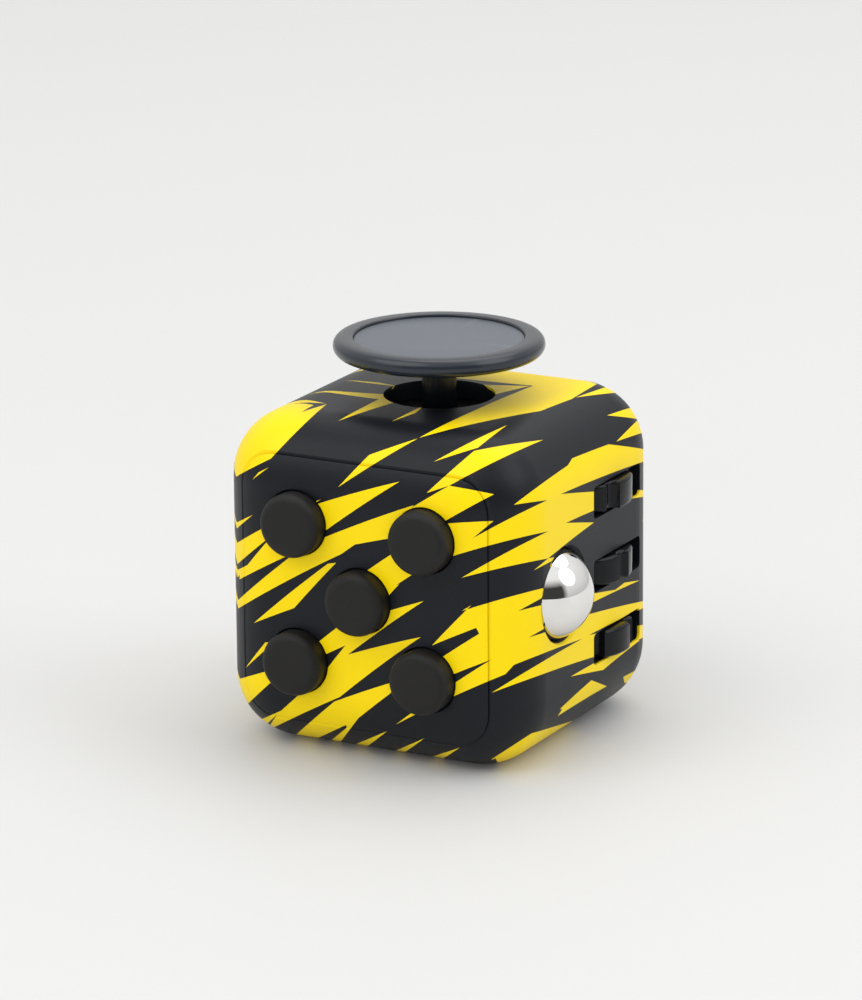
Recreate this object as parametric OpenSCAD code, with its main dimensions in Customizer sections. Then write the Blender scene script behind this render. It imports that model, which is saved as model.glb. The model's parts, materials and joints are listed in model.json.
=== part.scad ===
// Fidget cube: a rounded hollow cube with a different thing to fidget with on each face.
// Front -Y: five buttons. Right +X: a ball and three wheels. Top +Z: a sliding knob.
// Left -X: a rocker switch. Back +Y: a dial. Bottom -Z: a thumb dish.
// The origin is at the middle of the underside.

/* [Body] */
// Length of each side of the cube
side = 33; // [32:0.5:42]
// Radius of the rounded edges and corners
edge_r = 6.7; // [5.6:0.1:7.8]
// Thickness of the shell walls
wall = 1.8; // [1.5:0.1:2.2]
// Angle round the front edge at which the cover meets the shell
seam_angle = 32; // [26:1:38]
// Thickness of the front cover
cover_t = 1.9; // [1.6:0.1:2.3]
// Width of the landing that the front cover's edge rests on
ledge = 1.55; // [1.2:0.05:1.8]
// Corner radius of that opening
open_r = 2.2; // [1.5:0.1:3]
// Thickness of the skirt behind the front cover
skirt_t = 1.2; // [1:0.1:1.3]

/* [Buttons] */
// Distance of each outer button from the middle button, across and up
button_pitch = 6.9; // [6.5:0.1:7.4]
// Radius of a button
button_r = 3.15; // [2.6:0.05:3.3]
// Height that a button stands out of the face
button_out = 2; // [1.4:0.1:2.4]
// Travel of a button
button_travel = 0.8; // [0.4:0.1:1]
// Radius of the rounded edge of a button
button_edge = 0.8; // [0.3:0.1:1]
// Height of the dome under a button
dome_h = 1; // [0.9:0.1:1.2]
// Thickness of the plate behind the buttons
plate_t = 1.1; // [0.8:0.1:1.3]

/* [Sliding knob] */
// Radius of the knob's disc
disc_r = 10.3; // [9:0.1:12]
// Thickness of the disc's rim
disc_t = 1.8; // [1.5:0.1:2.4]
// Height of the disc's top above the top face
disc_top = 5.9; // [5:0.1:8]
// Radius of the pad let into the disc
pad_r = 8.3; // [6:0.1:8.5]
// Radius of the knob's stem
stem_r = 1.7; // [1.4:0.1:2]
// Radius of the well that the stem moves in
well_r = 5.45; // [5.4:0.05:6.2]
// Travel of the knob to each side along X and along Y
glide_travel = 2.4; // [1.5:0.1:2.4]

/* [Ball] */
// Radius of the ball
ball_r = 4.65; // [4:0.05:4.8]
// Depth of the ball's middle below the right face
ball_sink = 2; // [1.6:0.1:2.4]
// Place of the ball along Y
ball_y = -6; // [-6:0.1:-5.6]
// Travel of the ball when it is pressed
ball_travel = 0.8; // [0.4:0.1:1]

/* [Wheels] */
// Radius of a wheel
wheel_r = 5.5; // [4.5:0.1:5.6]
// Thickness of a wheel
wheel_t = 2.8; // [2.2:0.1:3.2]
// Height that a wheel stands out of the face
wheel_out = 1.05; // [0.8:0.05:1.6]
// Distance from one wheel to the next
wheel_pitch = 7.4; // [7:0.1:8]
// Place of the wheels along Y
wheel_y = 5.5; // [5.5:0.1:5.8]
// Length of a wheel's slot
slot_len = 10.3; // [9.8:0.1:10.8]
// Number of lobes round a wheel
lobes = 6; // [5:1:8]
// Radius of the wheel axle
axle_r = 0.8; // [0.6:0.1:1]

/* [Rocker] */
// Radius from the pin to the ends of the rocker
rocker_r = 7.3; // [7:0.1:7.5]
// Width of the rocker
rocker_w = 7.2; // [6:0.1:8]
// Turn of the rocker from one side to the other
rocker_turn = 23.8; // [16:0.2:24]
// Depth of the rocker's pin below the left face
rocker_sink = 3; // [2.9:0.1:3.2]

/* [Dial] */
// Radius of the dial
dial_r = 7.6; // [6:0.1:8]
// Height that the dial stands out of the face
dial_out = 2; // [1.4:0.1:2.4]
// Depth of the pocket that the dial turns in
dial_pocket = 0.8; // [0.5:0.1:1]

/* [Thumb dish] */
// Radius of the dish in the underside
dish_r = 7.2; // [5:0.1:7.6]
// Depth of the dish
dish_depth = 1.8; // [1:0.1:2]

/* [Hidden] */
$fn = 64;

run = 0.05;         // radial clearance of a turning or sliding fit
gap = 0.1;          // clearance of a part in its opening
slip = 0.2;         // clearance between flat pieces that slide
eps = 0.01;         // overshoot of a cut

half = side / 2;
mid_z = side / 2;
inner = half - wall;
inner_r = edge_r - wall;
top_in = side - wall;
seam_y = -half + edge_r * (1 - cos(seam_angle));
seam_half = half - edge_r * (1 - sin(seam_angle));
open_half = seam_half - ledge;

// small screws, the same everywhere
screw_r = 0.6;
head_r = 1.1;
head_h = 0.7;
boss_r = 1.5;
ear_r = 1.6;

// front: cover, buttons and the plate behind them
cover_in = -half + cover_t;
flange_t = 0.7;
flange_lip = 0.45;
flange_r = button_r + flange_lip;
nub_r = 1.2;
nub_l = 0.7;
dome_r = 2;
button_rest = 0.02;
plate_y = cover_in + button_rest + flange_t + nub_l + dome_h;
plate_back = plate_y + plate_t;
boss_shift = 1.3;
plate_boss = button_pitch - boss_shift;
hook_w = 5;
hook_out = 0.5;
hook_l = 0.8;
hook_sink = 1;
hook_y = -inner + hook_sink;
button_at = [
    [-button_pitch, button_pitch], [button_pitch, button_pitch], [0, 0],
    [-button_pitch, -button_pitch], [button_pitch, -button_pitch]
];

// top: knob, slider, carriage and retainer, from the wall down
slider_t = 1;
slider_edge = 0.6;
slider_top = top_in - 0.3;
slider_bot = slider_top - slider_t;
glide_reach = glide_travel * sqrt(2);
slider_r = well_r + glide_reach + 0.4;
carriage_t = 0.8;
carriage_top = slider_bot - slip;
carriage_bot = carriage_top - carriage_t;
carriage_x = 9;
carriage_y = 8.4;
retainer_t = 1;
retainer_top = carriage_bot - slip;
retainer_bot = retainer_top - retainer_t;
plate_half = min(open_half - 0.8, retainer_bot - slip - mid_z);
post_inset = [3.3, 4.3];
post_x = inner - post_inset[0];
post_y = inner - post_inset[1];
rib_at = 6.6;
rib_w = 0.9;
rib_l = 3;
rib_h = carriage_t;
hub_r = 1.9;
hub_bot = retainer_top - 0.7;
ring_t = 0.4;
retainer_hole = hub_r + glide_reach + 0.3;
collar_r = stem_r + 0.3;
collar_h = 0.8;
disc_z = side + disc_top;
disc_under = disc_z - disc_t;
pad_t = 0.5;
pad_sink = 0.3;

// right: ball, cradle, wheels and the bracket that holds them
ball_x = half - ball_sink;
seat_r = ball_r + run + 0.02;
hole_r = ball_r + 0.2;
cradle_r = ball_r + 0.3;
cradle_floor = 0.55;
cradle_back = ball_x - ball_r - cradle_floor;
cradle_front = ball_x - 1.7;
plunger_r = 2.2;
guide_r = 3;
wheel_x = half + wheel_out - wheel_r;
wheel_core = 3.5;
hub_wall = (wheel_r - wheel_core) / 2;
plunger_l = 3.1;
guide_x = cradle_back - plunger_l;
bracket_t = 1.2;
bracket_x = wheel_x - wheel_r - 0.35;
bracket_z = mid_z - wheel_pitch - wheel_t / 2 - 0.8;
arm_t = 1;
arm_half = axle_r + hub_wall;
wheel_hub_r = axle_r + hub_wall;
slot_h = wheel_t + 2 * slip;
slot_r = 0.5;
ear_reach = 1.2;
ear_y = wheel_y + wheel_r + ear_reach;

// left: rocker, pin, frame and leaf spring
rocker_x = -half + rocker_sink;
rocker_tip = 51.2;
rocker_dip = 3.5;
rocker_nub = 2.6;
rocker_nub_r = 0.7;
rocker_open = rocker_r + 0.15;
cheek_t = 1;
cheek_y = rocker_w / 2 + 0.7;
frame_x = rocker_x + rocker_nub + rocker_nub_r + 1.1;
frame_t = 1;
frame_half = rocker_r + 0.9;
switch_y = cheek_y + cheek_t;
lug_lap = 0.4;
lug = retainer_bot - slip - mid_z - frame_half + lug_lap;
leaf_t = 0.25;

// back: dial
shaft_r = 1.6;
dial_boss_r = 3.4;
dial_in = half - wall - 1;
washer_t = 0.8;
washer_r = 3;
washer_y = dial_in - 0.1 - washer_t;

// underside: dish
dish_ball = (dish_r * dish_r + dish_depth * dish_depth) / (2 * dish_depth);
dish_floor = dish_depth + wall;

module rounded_cube(grow, r) {
    // a cube of this object's centre, grow smaller on every side, with rounded edges and corners
    reach = half - grow - r;
    translate([0, 0, mid_z]) {
        for (turn = [[0, 0, 0], [90, 0, 0], [0, 90, 0]])
            rotate(turn) {
                cube([2 * reach, 2 * reach, 2 * (reach + r)], center = true);
                for (x = [-1, 1], y = [-1, 1])
                    translate([x * reach, y * reach, -reach])
                        cylinder(h = 2 * reach, r = r);
            }
        for (x = [-1, 1], y = [-1, 1], z = [-1, 1])
            translate([x * reach, y * reach, z * reach])
                sphere(r);
    }
}

module rounded_square(h, r) {
    square([2 * h, 2 * (h - r)], center = true);
    square([2 * (h - r), 2 * h], center = true);
    for (x = [-1, 1], y = [-1, 1])
        translate([x * (h - r), y * (h - r)])
            circle(r);
}

module along_y(y, length) {
    // extrudes a shape drawn in X and Z from y towards +Y, about the cube's middle
    translate([0, y + length, mid_z])
        rotate([90, 0, 0])
            linear_extrude(length)
                children();
}

module rod_y(x, y, z, r, length) {
    translate([x, y + length, z])
        rotate([90, 0, 0])
            cylinder(h = length, r = r);
}

module rod_x(x, y, z, r, length) {
    translate([x, y, z])
        rotate([0, 90, 0])
            cylinder(h = length, r = r);
}

module slab(x, y, z) {
    // a block between two places on each axis
    translate([x[0], y[0], z[0]])
        cube([x[1] - x[0], y[1] - y[0], z[1] - z[0]]);
}

module puck(r, h, edge) {
    // a round piece on its base, with its upper edge rounded
    rotate_extrude() {
        square([r - edge, h]);
        square([r, h - edge]);
        translate([r - edge, h - edge])
            intersection() {
                circle(edge);
                square(edge);
            }
    }
}

module post(x, y) {
    translate([x, y, retainer_top])
        cylinder(h = top_in - retainer_top + 0.4, r = boss_r);
}

module back_boss(z) {
    rod_y(wheel_x, ear_y, z, boss_r, inner - ear_y - 0.2);
}

module switch_lug(z) {
    // a block on the left wall that the switch frame is screwed to
    slab([-inner - 0.5, -inner + lug], [switch_y, switch_y + lug], [z - lug / 2, z + lug / 2]);
}

module screw_holes() {
    // pilot holes in the posts, the bosses and the lugs
    for (x = [-1, 1], y = [-1, 1])
        translate([x * post_x, y * post_y, retainer_top - eps])
            cylinder(h = 2.2, r = screw_r);
    for (s = [-1, 1])
        rod_y(wheel_x, ear_y - eps, mid_z + s * wheel_pitch / 2, screw_r, 1.8);
    for (s = [-1, 1])
        rod_y(-inner + lug / 2, switch_y - eps, lug_z(s), screw_r, 2.4);
}

function lug_z(s) = mid_z + s * (frame_half + lug / 2 - lug_lap);

module body_shell() {
    color("gold")
    difference() {
        union() {
            difference() {
                rounded_cube(0, edge_r);
                rounded_cube(wall, inner_r);
            }
            intersection() {
                rounded_cube(0, edge_r);
                union() {
                    for (x = [-1, 1], y = [-1, 1])
                        post(x * post_x, y * post_y);
                    for (s = [-1, 1])
                        back_boss(mid_z + s * wheel_pitch / 2);
                    for (s = [-1, 1])
                        switch_lug(lug_z(s));
                    rod_y(0, dial_in, mid_z, dial_boss_r, 1 + eps);
                    cylinder(h = dish_floor, r = dish_r + 1.2);
                }
            }
        }
        screw_holes();
        // front opening
        slab([-side, side], [-side, seam_y], [-1, side + 1]);
        along_y(-half, half / 2)
            rounded_square(open_half, open_r);
        // well for the stem
        translate([0, 0, top_in - 1])
            cylinder(h = wall + 2, r = well_r);
        ball_seat();
        // slots for the wheels
        for (s = [-1, 0, 1])
            wheel_slot(mid_z + s * wheel_pitch);
        // opening for the rocker
        slab([-half - 1, -inner + 1], [-rocker_w / 2 - slip, rocker_w / 2 + slip],
             [mid_z - rocker_open, mid_z + rocker_open]);
        // pocket and bore for the dial
        rod_y(0, half - dial_pocket, mid_z, dial_r + slip, dial_pocket + 1);
        rod_y(0, dial_in - 1, mid_z, shaft_r + run, wall + 3);
        // dish in the underside
        translate([0, 0, dish_depth - dish_ball])
            sphere(dish_ball, $fn = 128);
    }
}

module ball_seat() {
    // a bore up to the ball's middle, a round seat beyond it and a widened mouth
    mouth = ball_sink - 0.6;
    translate([ball_x, ball_y, mid_z])
        rotate([0, 90, 0])
            rotate_extrude() {
                intersection() {
                    circle(seat_r);
                    square(seat_r);
                }
                translate([0, -wall])
                    square([seat_r, wall + eps]);
                polygon([[0, mouth], [seat_r - 0.4, mouth], [hole_r + 0.05, mouth + 0.7], [0, mouth + 0.7]]);
            }
}

module wheel_slot(z) {
    translate([inner - 1, wheel_y, z])
        rotate([90, 0, 90])
            linear_extrude(wall + 2) {
                square([slot_len, slot_h - 2 * slot_r], center = true);
                square([slot_len - 2 * slot_r, slot_h], center = true);
                for (x = [-1, 1], y = [-1, 1])
                    translate([x * (slot_len / 2 - slot_r), y * (slot_h / 2 - slot_r)])
                        circle(slot_r);
            }
}

module front_cover() {
    skirt = open_half - gap;
    color("gold")
    difference() {
        union() {
            intersection() {
                rounded_cube(0, edge_r);
                slab([-side, side], [-side, seam_y], [-1, side + 1]);
            }
            // plug that carries the skirt and the bosses
            along_y(seam_y - 0.3, plate_y - seam_y + 0.3)
                rounded_square(skirt, open_r - gap);
            for (a = [0, 90, 180, 270])
                cover_hook(a);
        }
        // hollow behind the face
        difference() {
            along_y(cover_in, 5)
                rounded_square(skirt - skirt_t, open_r - gap - 0.6);
            for (a = [0, 90, 180, 270])
                rod_y(plate_boss * cos(a), cover_in - 1, mid_z + plate_boss * sin(a), 1.4, 7);
        }
        for (a = [0, 90, 180, 270])
            rod_y(plate_boss * cos(a), plate_y - 1.9, mid_z + plate_boss * sin(a), screw_r, 3);
        for (p = button_at)
            rod_y(p[0], -half - 1, mid_z + p[1], button_r + gap, cover_t + 2);
    }
}

module cover_hook(a) {
    // a snap lug that catches behind the edge of the opening
    translate([0, 0, mid_z])
        rotate([0, a, 0])
            translate([-hook_w / 2, hook_y, open_half - 1])
                cube([hook_w, hook_l, 1 + hook_out]);
}

module button(p) {
    // cap, flange behind the cover and the nub that presses the dome
    color("dimgray") {
        translate([p[0], cover_in + button_rest, mid_z + p[1]])
            rotate([90, 0, 0])
                puck(button_r, cover_t + button_rest + button_out, button_edge);
        rod_y(p[0], cover_in + button_rest, mid_z + p[1], flange_r, flange_t);
        rod_y(p[0], cover_in, mid_z + p[1], nub_r, button_rest + flange_t + nub_l);
    }
}

module dome(p, tint) {
    // a thin dome standing on the plate, with its top at the button's nub
    sheet = 0.15;
    big = (dome_r * dome_r + dome_h * dome_h) / (2 * dome_h);
    color(tint)
        translate([p[0], plate_y, mid_z + p[1]])
            rotate([90, 0, 0])
                dome_cup(big, sheet);
}

module dome_cup(big, sheet) {
    rotate_extrude()
        intersection() {
            difference() {
                translate([0, dome_h - big])
                    circle(big);
                translate([0, dome_h - big])
                    circle(big - sheet);
            }
            square([dome_r, dome_h]);
        }
}

module button_plate() {
    color("darkslategray")
    difference() {
        along_y(plate_y, plate_t)
            rounded_square(plate_half, 2.6);
        for (a = [0, 90, 180, 270])
            rod_y(plate_boss * cos(a), plate_y - 1, mid_z + plate_boss * sin(a), screw_r + gap, 5);
        // room for the ball's cradle
        rod_x(cradle_back - slip, ball_y, mid_z, cradle_r + gap, half);
    }
}

module screw(length) {
    // head below z = 0, shank above it, with a cross recess in the head
    difference() {
        union() {
            translate([0, 0, -head_h])
                cylinder(h = head_h, r = head_r);
            translate([0, 0, -eps])
                cylinder(h = length + eps, r = screw_r);
        }
        for (a = [0, 90])
            rotate(a)
                translate([0, 0, -head_h])
                    cube([1.2, 0.3, 0.6], center = true);
    }
}

module plate_screws() {
    color("silver")
        for (a = [0, 90, 180, 270])
            translate([plate_boss * cos(a), plate_back, mid_z + plate_boss * sin(a)])
                rotate([90, 0, 0])
                    screw(plate_t + 1.6);
}

module glide_knob() {
    // disc with a full round rim, a recess for the pad, a collar and a stem
    rim = disc_t / 2;
    color("darkslategray")
    difference() {
        union() {
            translate([0, 0, disc_under])
                rotate_extrude() {
                    square([disc_r - rim, disc_t]);
                    translate([disc_r - rim, rim])
                        circle(rim);
                }
            translate([0, 0, disc_under - collar_h])
                cylinder(h = collar_h + eps, r = collar_r);
            translate([0, 0, slider_top])
                cylinder(h = disc_under - slider_top, r = stem_r);
        }
        translate([0, 0, disc_z - pad_sink - pad_t])
            cylinder(h = pad_sink + pad_t + 1, r = pad_r);
        translate([0, 0, slider_top - eps])
            cylinder(h = 3, r = screw_r);
    }
}

module glide_pad() {
    color("slategray")
        translate([0, 0, disc_z - pad_sink - pad_t])
            cylinder(h = pad_t, r = pad_r);
}

module glide_slider() {
    // covers the well wherever the knob stands, with a hub and two guide ribs below
    color("black")
    difference() {
        union() {
            translate([0, 0, slider_bot])
                puck(slider_r, slider_t, slider_edge);
            translate([0, 0, hub_bot])
                cylinder(h = slider_bot - hub_bot + eps, r = hub_r);
            for (s = [-1, 1])
                slab([s * rib_at - rib_w / 2, s * rib_at + rib_w / 2], [-rib_l / 2, rib_l / 2],
                     [slider_bot - rib_h, slider_bot + eps]);
        }
        translate([0, 0, hub_bot - 1])
            cylinder(h = 6, r = screw_r);
    }
}

module glide_screw() {
    color("silver")
        translate([0, 0, hub_bot])
            screw(slider_top - hub_bot + 2.8);
}

module glide_carriage() {
    // slides along X on the retainer and carries the slider along Y
    slot_y = rib_l / 2 + glide_travel + slip;
    slot_x = rib_w / 2 + run;
    color("dimgray") {
        difference() {
            slab([-carriage_x, carriage_x], [-carriage_y, carriage_y], [carriage_bot, carriage_top]);
            translate([0, 0, carriage_bot - 1])
                cylinder(h = carriage_t + 2, r = hub_r + glide_travel + slip);
            for (s = [-1, 1])
                slab([s * rib_at - slot_x, s * rib_at + slot_x], [-slot_y, slot_y],
                     [carriage_bot - 1, carriage_top + 1]);
        }
        for (s = [-1, 1])
            slab([-rib_l / 2, rib_l / 2], [s * rib_at - rib_w / 2, s * rib_at + rib_w / 2],
                 [carriage_bot - rib_h, carriage_bot + eps]);
    }
}

module glide_retainer() {
    slot_x = rib_l / 2 + glide_travel + slip;
    slot_y = rib_w / 2 + run;
    color("darkslategray")
    difference() {
        union() {
            slab([-post_x, post_x], [-post_y - ear_r, post_y + ear_r], [retainer_bot, retainer_top]);
            slab([-post_x - ear_r, post_x + ear_r], [-post_y, post_y], [retainer_bot, retainer_top]);
            for (x = [-1, 1], y = [-1, 1])
                translate([x * post_x, y * post_y, retainer_bot])
                    cylinder(h = retainer_t, r = ear_r);
        }
        translate([0, 0, retainer_bot - 1])
            cylinder(h = retainer_t + 2, r = retainer_hole);
        for (s = [-1, 1])
            slab([-slot_x, slot_x], [s * rib_at - slot_y, s * rib_at + slot_y],
                 [retainer_bot - 1, retainer_top + 1]);
        for (x = [-1, 1], y = [-1, 1])
            translate([x * post_x, y * post_y, retainer_bot - 1])
                cylinder(h = retainer_t + 2, r = screw_r + gap);
    }
}

module glide_ring() {
    // soft ring that draws the hub back to the middle
    color("darkgray")
        translate([0, 0, hub_bot])
            difference() {
                cylinder(h = ring_t, r = retainer_hole);
                translate([0, 0, -1])
                    cylinder(h = ring_t + 2, r = hub_r);
            }
}

module retainer_screws() {
    color("silver")
        for (x = [-1, 1], y = [-1, 1])
            translate([x * post_x, y * post_y, retainer_bot])
                screw(retainer_t + 2);
}

module roll_ball() {
    color("gainsboro")
        translate([ball_x, ball_y, mid_z])
            sphere(ball_r, $fn = 96);
}

module ball_cradle() {
    color("dimgray")
    difference() {
        union() {
            rod_x(cradle_back, ball_y, mid_z, cradle_r, cradle_front - cradle_back);
            rod_x(guide_x + dome_h, ball_y, mid_z, plunger_r, plunger_l - dome_h + eps);
        }
        translate([ball_x, ball_y, mid_z])
            sphere(ball_r + run, $fn = 96);
    }
}

module ball_dome() {
    big = (dome_r * dome_r + dome_h * dome_h) / (2 * dome_h);
    color("silver")
        translate([guide_x, ball_y, mid_z])
            rotate([0, 90, 0])
                dome_cup(big, 0.15);
}

module bracket_arm(z, top) {
    slab([bracket_x - eps, wheel_x], [wheel_y - arm_half, wheel_y + arm_half], [z, top]);
    translate([wheel_x, wheel_y, z])
        cylinder(h = top - z, r = arm_half);
}

module roll_bracket() {
    // a back plate with four arms for the axle, two ears and the guide for the ball's cradle
    top = side - bracket_z;
    color("darkslategray")
    difference() {
        union() {
            slab([bracket_x - bracket_t, bracket_x], [wheel_y - arm_half, wheel_y + arm_half],
                 [bracket_z - arm_t, top + arm_t]);
            slab([guide_x - bracket_t, guide_x], [ball_y - guide_r, wheel_y],
                 [mid_z - guide_r, mid_z + guide_r]);
            slab([min(guide_x, bracket_x) - bracket_t, max(guide_x, bracket_x)],
                 [wheel_y - arm_half, wheel_y], [mid_z - guide_r, mid_z + guide_r]);
            rod_x(guide_x - eps, ball_y, mid_z, guide_r, plunger_l - ball_travel - slip);
            bracket_arm(bracket_z - arm_t, bracket_z);
            bracket_arm(top, top + arm_t);
            for (s = [-1, 1])
                bracket_mid(mid_z + s * wheel_pitch / 2);
        }
        rod_x(guide_x, ball_y, mid_z, plunger_r + run, plunger_l);
        translate([wheel_x, wheel_y, 0])
            cylinder(h = side, r = axle_r);
        for (s = [-1, 1])
            rod_y(wheel_x, ear_y - 2, mid_z + s * wheel_pitch / 2, screw_r + gap, 3);
        // way in for the ear screws and their driver
        for (s = [-1, 1])
            rod_y(wheel_x, wheel_y + arm_half + 0.6, mid_z + s * wheel_pitch / 2,
                  head_r + gap, ear_y - arm_t - wheel_y - arm_half - 0.6);
    }
}

module bracket_mid(z) {
    bracket_arm(z - arm_t / 2, z + arm_t / 2);
    slab([wheel_x - arm_half, wheel_x + arm_half], [wheel_y, ear_y - arm_t / 2],
         [z - arm_t / 2, z + arm_t / 2]);
    rod_y(wheel_x, ear_y - arm_t, z, ear_r, arm_t);
}

module bracket_screws() {
    color("silver")
        for (s = [-1, 1])
            translate([wheel_x, ear_y - arm_t, mid_z + s * wheel_pitch / 2])
                rotate([-90, 0, 0])
                    screw(arm_t + 1.6);
}

module wheel_outline() {
    difference() {
        circle(wheel_r, $fn = 96);
        for (i = [0:lobes - 1])
            rotate((i + 0.5) * 360 / lobes)
                translate([wheel_r + 0.15, 0])
                    circle(0.85, $fn = 32);
    }
}

module wheel(z, turn, low, high) {
    // a lobed wheel on a hub that reaches the arms below and above it
    color("black")
    translate([wheel_x, wheel_y, 0])
        rotate(turn)
            difference() {
                union() {
                    translate([0, 0, z - wheel_t / 2])
                        linear_extrude(wheel_t)
                            wheel_outline();
                    translate([0, 0, low + gap])
                        cylinder(h = high - low - 2 * gap, r = wheel_hub_r);
                }
                translate([0, 0, low - 1])
                    cylinder(h = high - low + 2, r = axle_r + run);
            }
}

module wheel_top() {
    wheel(mid_z + wheel_pitch, 8, mid_z + (wheel_pitch + arm_t) / 2, side - bracket_z);
}

module wheel_middle() {
    wheel(mid_z, 26, mid_z - (wheel_pitch - arm_t) / 2, mid_z + (wheel_pitch - arm_t) / 2);
}

module wheel_bottom() {
    wheel(mid_z - wheel_pitch, -12, bracket_z, mid_z - (wheel_pitch + arm_t) / 2);
}

module wheel_axle() {
    color("silver")
        translate([wheel_x, wheel_y, bracket_z - arm_t])
            cylinder(h = side - 2 * (bracket_z - arm_t), r = axle_r);
}

module rocker_shape() {
    // drawn with the pin at 0, 0 and outwards along X
    tip = [rocker_r * cos(rocker_tip), rocker_r * sin(rocker_tip)];
    difference() {
        intersection() {
            circle(rocker_r, $fn = 96);
            polygon([[rocker_dip, 0], tip, [rocker_r, tip[1] + 3], [-0.4, tip[1] + 3],
                     [-0.4, 0.9], [-rocker_nub, rocker_nub_r], [-rocker_nub, -rocker_nub_r],
                     [-0.4, -0.9], [-0.4, -tip[1] - 3], [rocker_r, -tip[1] - 3],
                     [tip[0], -tip[1]]]);
        }
        // hollow under each wing
        for (s = [-1, 1])
            translate([-0.4 - eps, s * 3.9])
                square([2.2, 3.4], center = true);
    }
    translate([-rocker_nub, 0])
        circle(rocker_nub_r);
    circle(1.7);
}

module in_rocker_frame(turn) {
    translate([rocker_x, rocker_w / 2, mid_z])
        rotate([90, 0, 0])
            mirror([1, 0, 0])
                rotate(turn)
                    children();
}

module flip_rocker() {
    color("dimgray")
    difference() {
        in_rocker_frame(rocker_turn / 2)
            linear_extrude(rocker_w)
                rocker_shape();
        rod_y(rocker_x, -half, mid_z, axle_r + run, side);
    }
}

module rocker_pin() {
    color("silver")
        rod_y(rocker_x, -switch_y, mid_z, axle_r, 2 * switch_y);
}

module switch_frame() {
    // two cheeks for the pin on a base, with an ear at each end for a screw
    front = -inner + 0.3;
    color("darkslategray")
    difference() {
        union() {
            for (s = [-1, 1])
                translate([0, s * (cheek_y + cheek_t / 2), 0])
                    slab([front, frame_x + frame_t], [-cheek_t / 2, cheek_t / 2],
                         [mid_z - 3.2, mid_z + 3.2]);
            slab([frame_x, frame_x + frame_t], [-switch_y, switch_y],
                 [mid_z - frame_half, mid_z + frame_half]);
            for (s = [-1, 1])
                slab([front, frame_x + frame_t], [cheek_y, switch_y],
                     [lug_z(s) - lug / 2 - (s < 0 ? 0 : 1), lug_z(s) + lug / 2 + (s < 0 ? 1 : 0)]);
        }
        rod_y(rocker_x, -half, mid_z, axle_r, side);
        for (s = [-1, 1])
            rod_y(-inner + lug / 2, 0, lug_z(s), screw_r + gap, half);
    }
}

module switch_leaf() {
    // a thin strip with a hump under the rocker's nub
    base = frame_x - leaf_t;
    hump = 0.7;
    color("silver")
        translate([0, 1.5, mid_z])
            rotate([90, 0, 0])
                linear_extrude(3)
                    polygon([[base, -5.5], [base + leaf_t, -5.5], [base + leaf_t, -2.2],
                             [base + leaf_t - hump, 0], [base + leaf_t, 2.2],
                             [base + leaf_t, 5.5], [base, 5.5], [base, 2.2],
                             [base - hump, 0], [base, -2.2]]);
}

module switch_screws() {
    color("silver")
        for (s = [-1, 1])
            translate([-inner + lug / 2, cheek_y, lug_z(s)])
                rotate([-90, 0, 0])
                    screw(cheek_t + 2.2);
}

module spin_dial() {
    // a domed disc with a finger dimple and a shaft through the back wall
    base = half - dial_pocket + slip;
    color("dimgray")
    difference() {
        union() {
            translate([0, base, mid_z])
                rotate([-90, 0, 0])
                    puck(dial_r, dial_out + dial_pocket - slip, 0.7);
            rod_y(0, washer_y + washer_t, mid_z, shaft_r, base - washer_y - washer_t + eps);
        }
        // finger dimple
        translate([0, half + dial_out + 2.4, mid_z + dial_r * 0.52])
            sphere(3.4);
        // grip notches round the rim
        for (i = [0:17])
            translate([0, half + dial_out + eps, mid_z])
                rotate([90, i * 20, 0])
                    translate([dial_r + 0.2, 0, 0])
                        cylinder(h = dial_out - 0.4, r = 0.5, $fn = 24);
        rod_y(0, washer_y, mid_z, screw_r, 3.4);
    }
}

module dial_washer() {
    color("silver")
    difference() {
        rod_y(0, washer_y, mid_z, washer_r, washer_t);
        rod_y(0, washer_y - 1, mid_z, screw_r + gap, washer_t + 2);
    }
}

module dial_screw() {
    color("silver")
        translate([0, washer_y, mid_z])
            rotate([-90, 0, 0])
                screw(washer_t + 2.4);
}

body_shell();
front_cover();
button_plate();
plate_screws();
button(button_at[0]);  // button_top_left
button(button_at[1]);  // button_top_right
button(button_at[2]);  // button_centre
button(button_at[3]);  // button_bottom_left
button(button_at[4]);  // button_bottom_right
dome(button_at[0], "silver");  // dome_top_left
dome(button_at[1], "silver");  // dome_top_right
dome(button_at[2], "silver");  // dome_centre
dome(button_at[3], "ivory");  // dome_bottom_left
dome(button_at[4], "ivory");  // dome_bottom_right
glide_knob();
glide_pad();
glide_slider();
glide_screw();
glide_carriage();
glide_retainer();
glide_ring();
retainer_screws();
roll_ball();
ball_cradle();
ball_dome();
roll_bracket();
bracket_screws();
wheel_top();
wheel_middle();
wheel_bottom();
wheel_axle();
flip_rocker();
rocker_pin();
switch_frame();
switch_leaf();
switch_screws();
spin_dial();
dial_washer();
dial_screw();
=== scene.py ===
"""Looks of the fidget cube: moulded shells, lathed controls, node materials, floor, light and camera."""

import json
import math

import bmesh
import bpy
from mathutils import Matrix, Vector


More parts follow.
